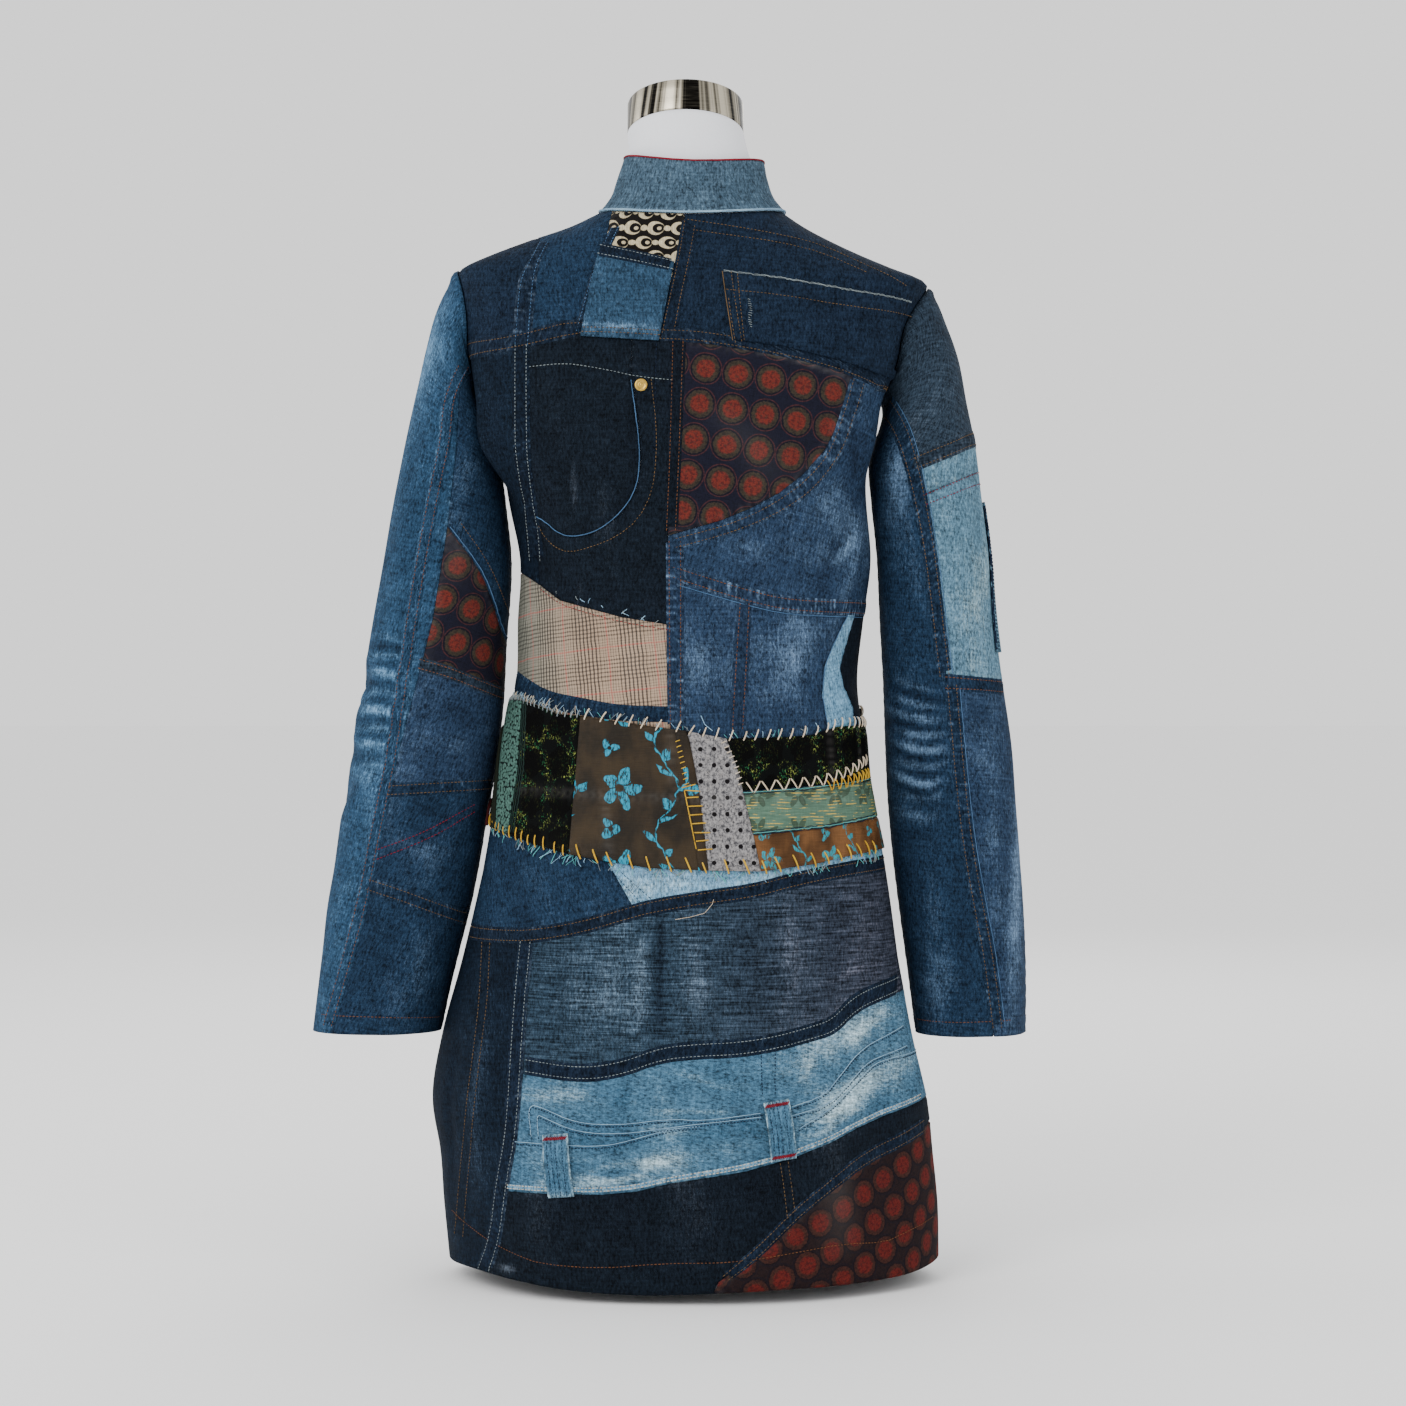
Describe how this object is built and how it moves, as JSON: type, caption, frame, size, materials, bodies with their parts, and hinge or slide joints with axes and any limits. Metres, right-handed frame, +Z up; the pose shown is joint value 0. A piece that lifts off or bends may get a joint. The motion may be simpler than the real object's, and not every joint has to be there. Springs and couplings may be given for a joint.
{
  "type": "denim jacket on dress form",
  "caption": "Long closed patchwork denim jacket seen from the back, worn by a limbless jersey dress form on a pole and low round base.",
  "frame": {"origin": "centre of the stand's base, on the floor", "axes": "+Z up, +X to the right as the back is looked at, +Y towards the jacket's front"},
  "size_m": [0.5868, 0.2617, 0.9759],
  "materials": {
    "indigo_dark": "twill denim, dark indigo",
    "indigo_black": "twill denim, near black",
    "indigo_mid": "twill denim, worn mid blue",
    "indigo_blue": "twill denim, bright blue",
    "blue_light": "twill denim, pale blue",
    "blue_bleached": "twill denim, bleached",
    "slub_slate": "slub denim, slate",
    "collar_denim": "fine denim, grey blue",
    "ring_cloth": "woven black with gold rings",
    "check_cloth": "woven beige check",
    "dot_cloth": "woven navy with red discs",
    "lurex_black": "woven black with metallic yarn",
    "brocade_brown": "satin brocade, brown",
    "brocade_sage": "brocade, sage",
    "grey_dotted": "woven grey with black dots",
    "brass": "satin",
    "form_jersey": "fine white jersey",
    "form_metal": "brushed",
    "stand_steel": "satin"
  },
  "bodies": {
    "root": {"yoke_left_outer": "indigo_dark", "yoke_left_inner": "indigo_dark", "yoke_ring_insert": "ring_cloth", "yoke_right": "indigo_dark", "back_left_side": "indigo_mid", "back_pocket_bag": "indigo_black", "back_pocket_panel": "indigo_black", "back_check": "check_cloth", "back_dots": "dot_cloth", "back_right_side": "indigo_mid", "back_lower_middle": "indigo_mid", "back_crescent": "blue_light", "back_right_low": "indigo_dark", "skirt_upper_left": "indigo_mid", "skirt_sky": "blue_light", "skirt_left": "indigo_mid", "skirt_slub": "slub_slate", "skirt_bleached": "blue_bleached", "skirt_dark": "indigo_black", "skirt_dots": "dot_cloth", "sleeve_left_outer": "indigo_blue", "sleeve_left_upper": "indigo_mid", "sleeve_left_dots": "dot_cloth", "sleeve_left_elbow": "slub_slate", "sleeve_left_fore": "indigo_dark", "sleeve_left_cuff": "indigo_mid", "sleeve_right_top": "slub_slate", "sleeve_right_strip": "blue_light", "sleeve_right_panel": "blue_light", "sleeve_right_inner": "indigo_dark", "sleeve_right_lower": "indigo_mid", "yoke_blue_patch": "indigo_blue", "yoke_pocket": "indigo_dark", "band_left": "lurex_black", "band_brocade": "brocade_brown", "band_grey": "grey_dotted", "band_lurex": "lurex_black", "band_sage": "brocade_sage", "band_rust": "brocade_brown", "band_front": "brocade_brown", "placket_lower": "indigo_dark", "placket_upper": "indigo_dark", "front_left": "indigo_mid", "front_right": "indigo_mid", "sleeve_left_front": "indigo_mid", "sleeve_right_front": "indigo_mid", "sleeve_right_pocket": "blue_light", "collar": "collar_denim", "belt_loop_left": "blue_bleached", "belt_loop_right": "blue_bleached", "pocket_rivet": "brass", "form_torso": "form_jersey", "form_neck_cap": "form_metal", "form_pole": "stand_steel", "form_base": "stand_steel", "button_1": "brass", "button_2": "brass", "button_3": "brass", "button_4": "brass"}
  },
  "joints": []
}
